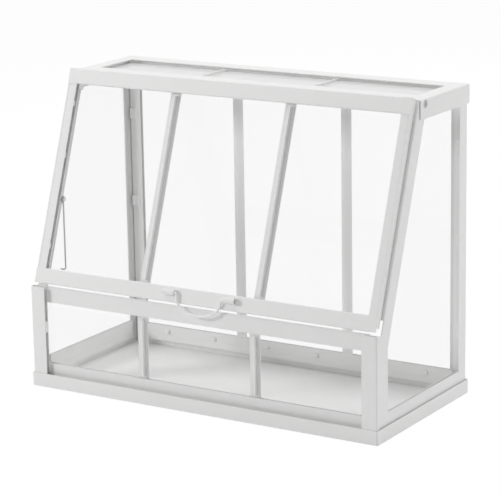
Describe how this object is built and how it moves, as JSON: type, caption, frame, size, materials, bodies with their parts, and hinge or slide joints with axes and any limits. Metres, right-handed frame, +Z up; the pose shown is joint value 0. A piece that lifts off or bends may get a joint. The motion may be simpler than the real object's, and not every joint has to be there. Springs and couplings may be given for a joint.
{
  "type": "mini greenhouse",
  "caption": "Table-top greenhouse of folded white steel: shallow tray, clear panes in channel frames, and a sloped hinged lid with a drop handle and a wire stay.",
  "frame": {"origin": "on the floor, under the middle of the tray", "axes": "+X across the front to the right as seen from the front, +Y from the front to the rear, +Z up"},
  "size_m": [0.45, 0.214, 0.3552],
  "materials": {
    "white_steel": "white powder coat with a satin sheen",
    "clear_pane": "clear, smooth plastic",
    "zinc_steel": "zinc plated"
  },
  "bodies": {
    "house": {"front_sill": "white_steel", "front_top_rail": "white_steel", "hinge_rivets": "zinc_steel", "hinge_washers": "zinc_steel", "left_front_bar": "white_steel", "left_front_pane": "clear_pane", "left_front_post": "white_steel", "left_front_stile": "white_steel", "left_rear_bar": "white_steel", "left_rear_pane": "clear_pane", "left_rear_post": "white_steel", "left_rear_stile": "white_steel", "left_roof_bar": "white_steel", "left_roof_pane": "clear_pane", "left_roof_side": "white_steel", "left_side_pane": "clear_pane", "left_side_sill": "white_steel", "left_side_top_rail": "white_steel", "left_sloped_post": "white_steel", "middle_front_pane": "clear_pane", "middle_rear_pane": "clear_pane", "middle_roof_pane": "clear_pane", "rear_sill": "white_steel", "rear_top_rail": "white_steel", "right_front_bar": "white_steel", "right_front_pane": "clear_pane", "right_front_post": "white_steel", "right_front_stile": "white_steel", "right_rear_bar": "white_steel", "right_rear_pane": "clear_pane", "right_rear_post": "white_steel", "right_rear_stile": "white_steel", "right_roof_bar": "white_steel", "right_roof_pane": "clear_pane", "right_roof_side": "white_steel", "right_side_pane": "clear_pane", "right_side_sill": "white_steel", "right_side_top_rail": "white_steel", "right_sloped_post": "white_steel", "roof_front_rail": "white_steel", "roof_rear_rail": "white_steel", "tray": "white_steel"},
    "lid": {"left_lid_bar": "white_steel", "left_lid_pane": "clear_pane", "left_lid_stile": "white_steel", "lid_bottom_rail": "white_steel", "lid_top_rail": "white_steel", "middle_lid_pane": "clear_pane", "right_lid_bar": "white_steel", "right_lid_pane": "clear_pane", "right_lid_stile": "white_steel", "left_hinge_arm": "white_steel", "right_hinge_arm": "white_steel", "left_handle_saddle": "white_steel", "right_handle_saddle": "white_steel", "stay_pin": "zinc_steel"},
    "handle": {"handle_bail": "white_steel"},
    "stay": {"stay_wire": "zinc_steel"}
  },
  "joints": [
    {"name": "lid_hinge", "type": "hinge", "parent": "house", "child": "lid", "pos_m": [0, 0.0024, 0.3458], "axis": [-1, 0, 0], "range_deg": [0, 80]},
    {"name": "handle_swing", "type": "hinge", "parent": "lid", "child": "handle", "pos_m": [0, -0.10223, 0.13312], "axis": [-1, 0, 0], "range_deg": [0, 170]},
    {"name": "stay_swing", "type": "hinge", "parent": "lid", "child": "stay", "pos_m": [0, -0.05888, 0.21075], "axis": [1, 0, 0], "range_deg": [-12, 80]}
  ]
}
